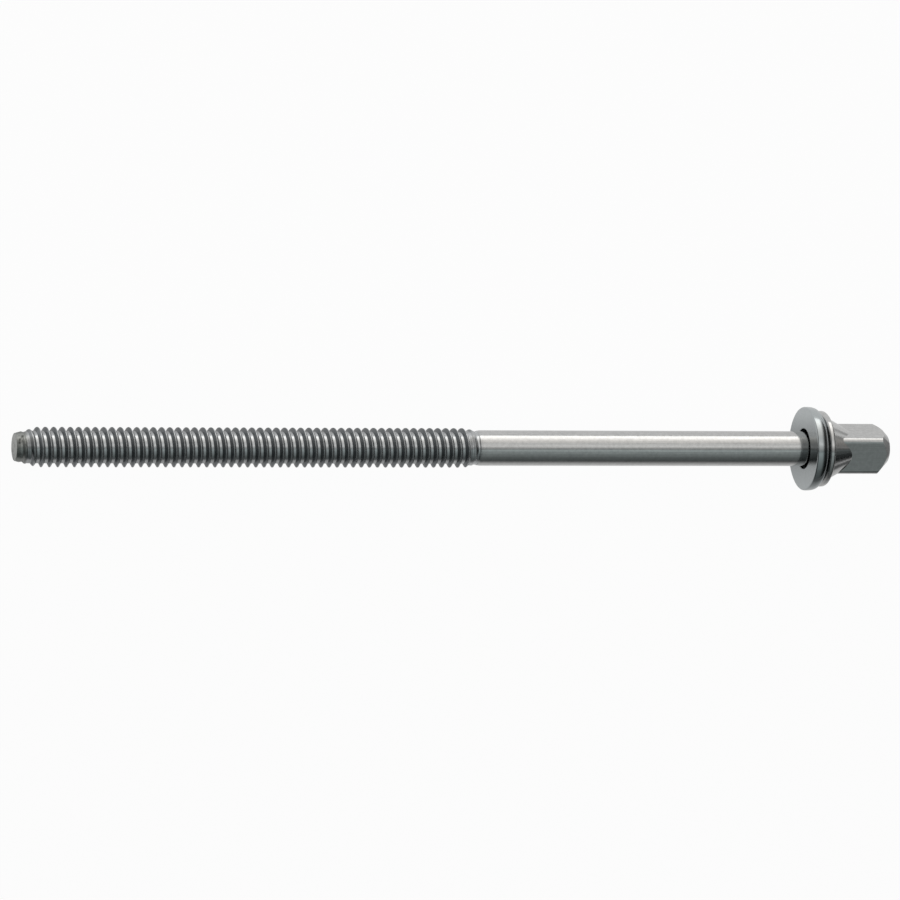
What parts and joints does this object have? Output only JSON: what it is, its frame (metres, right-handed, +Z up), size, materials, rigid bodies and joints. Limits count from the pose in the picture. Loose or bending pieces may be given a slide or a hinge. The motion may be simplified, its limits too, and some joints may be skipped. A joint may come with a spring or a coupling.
{
  "type": "drum tension rod",
  "caption": "Square-headed rod with a round flange, conical neck and long rolled thread, and a loose flat washer, which pulls a drum hoop down when screwed into a lug.",
  "frame": {"origin": "on the rod's axis, at the washer's bearing face", "axes": "+X along the rod towards its square head, +Z up as the rod lies on a table"},
  "size_m": [0.1387, 0.013, 0.013],
  "materials": {
    "rod_plate": "bright plated steel",
    "washer_plate": "bright plated pressed steel"
  },
  "bodies": {
    "root": {"tension_rod": "rod_plate", "washer": "washer_plate"}
  },
  "joints": []
}
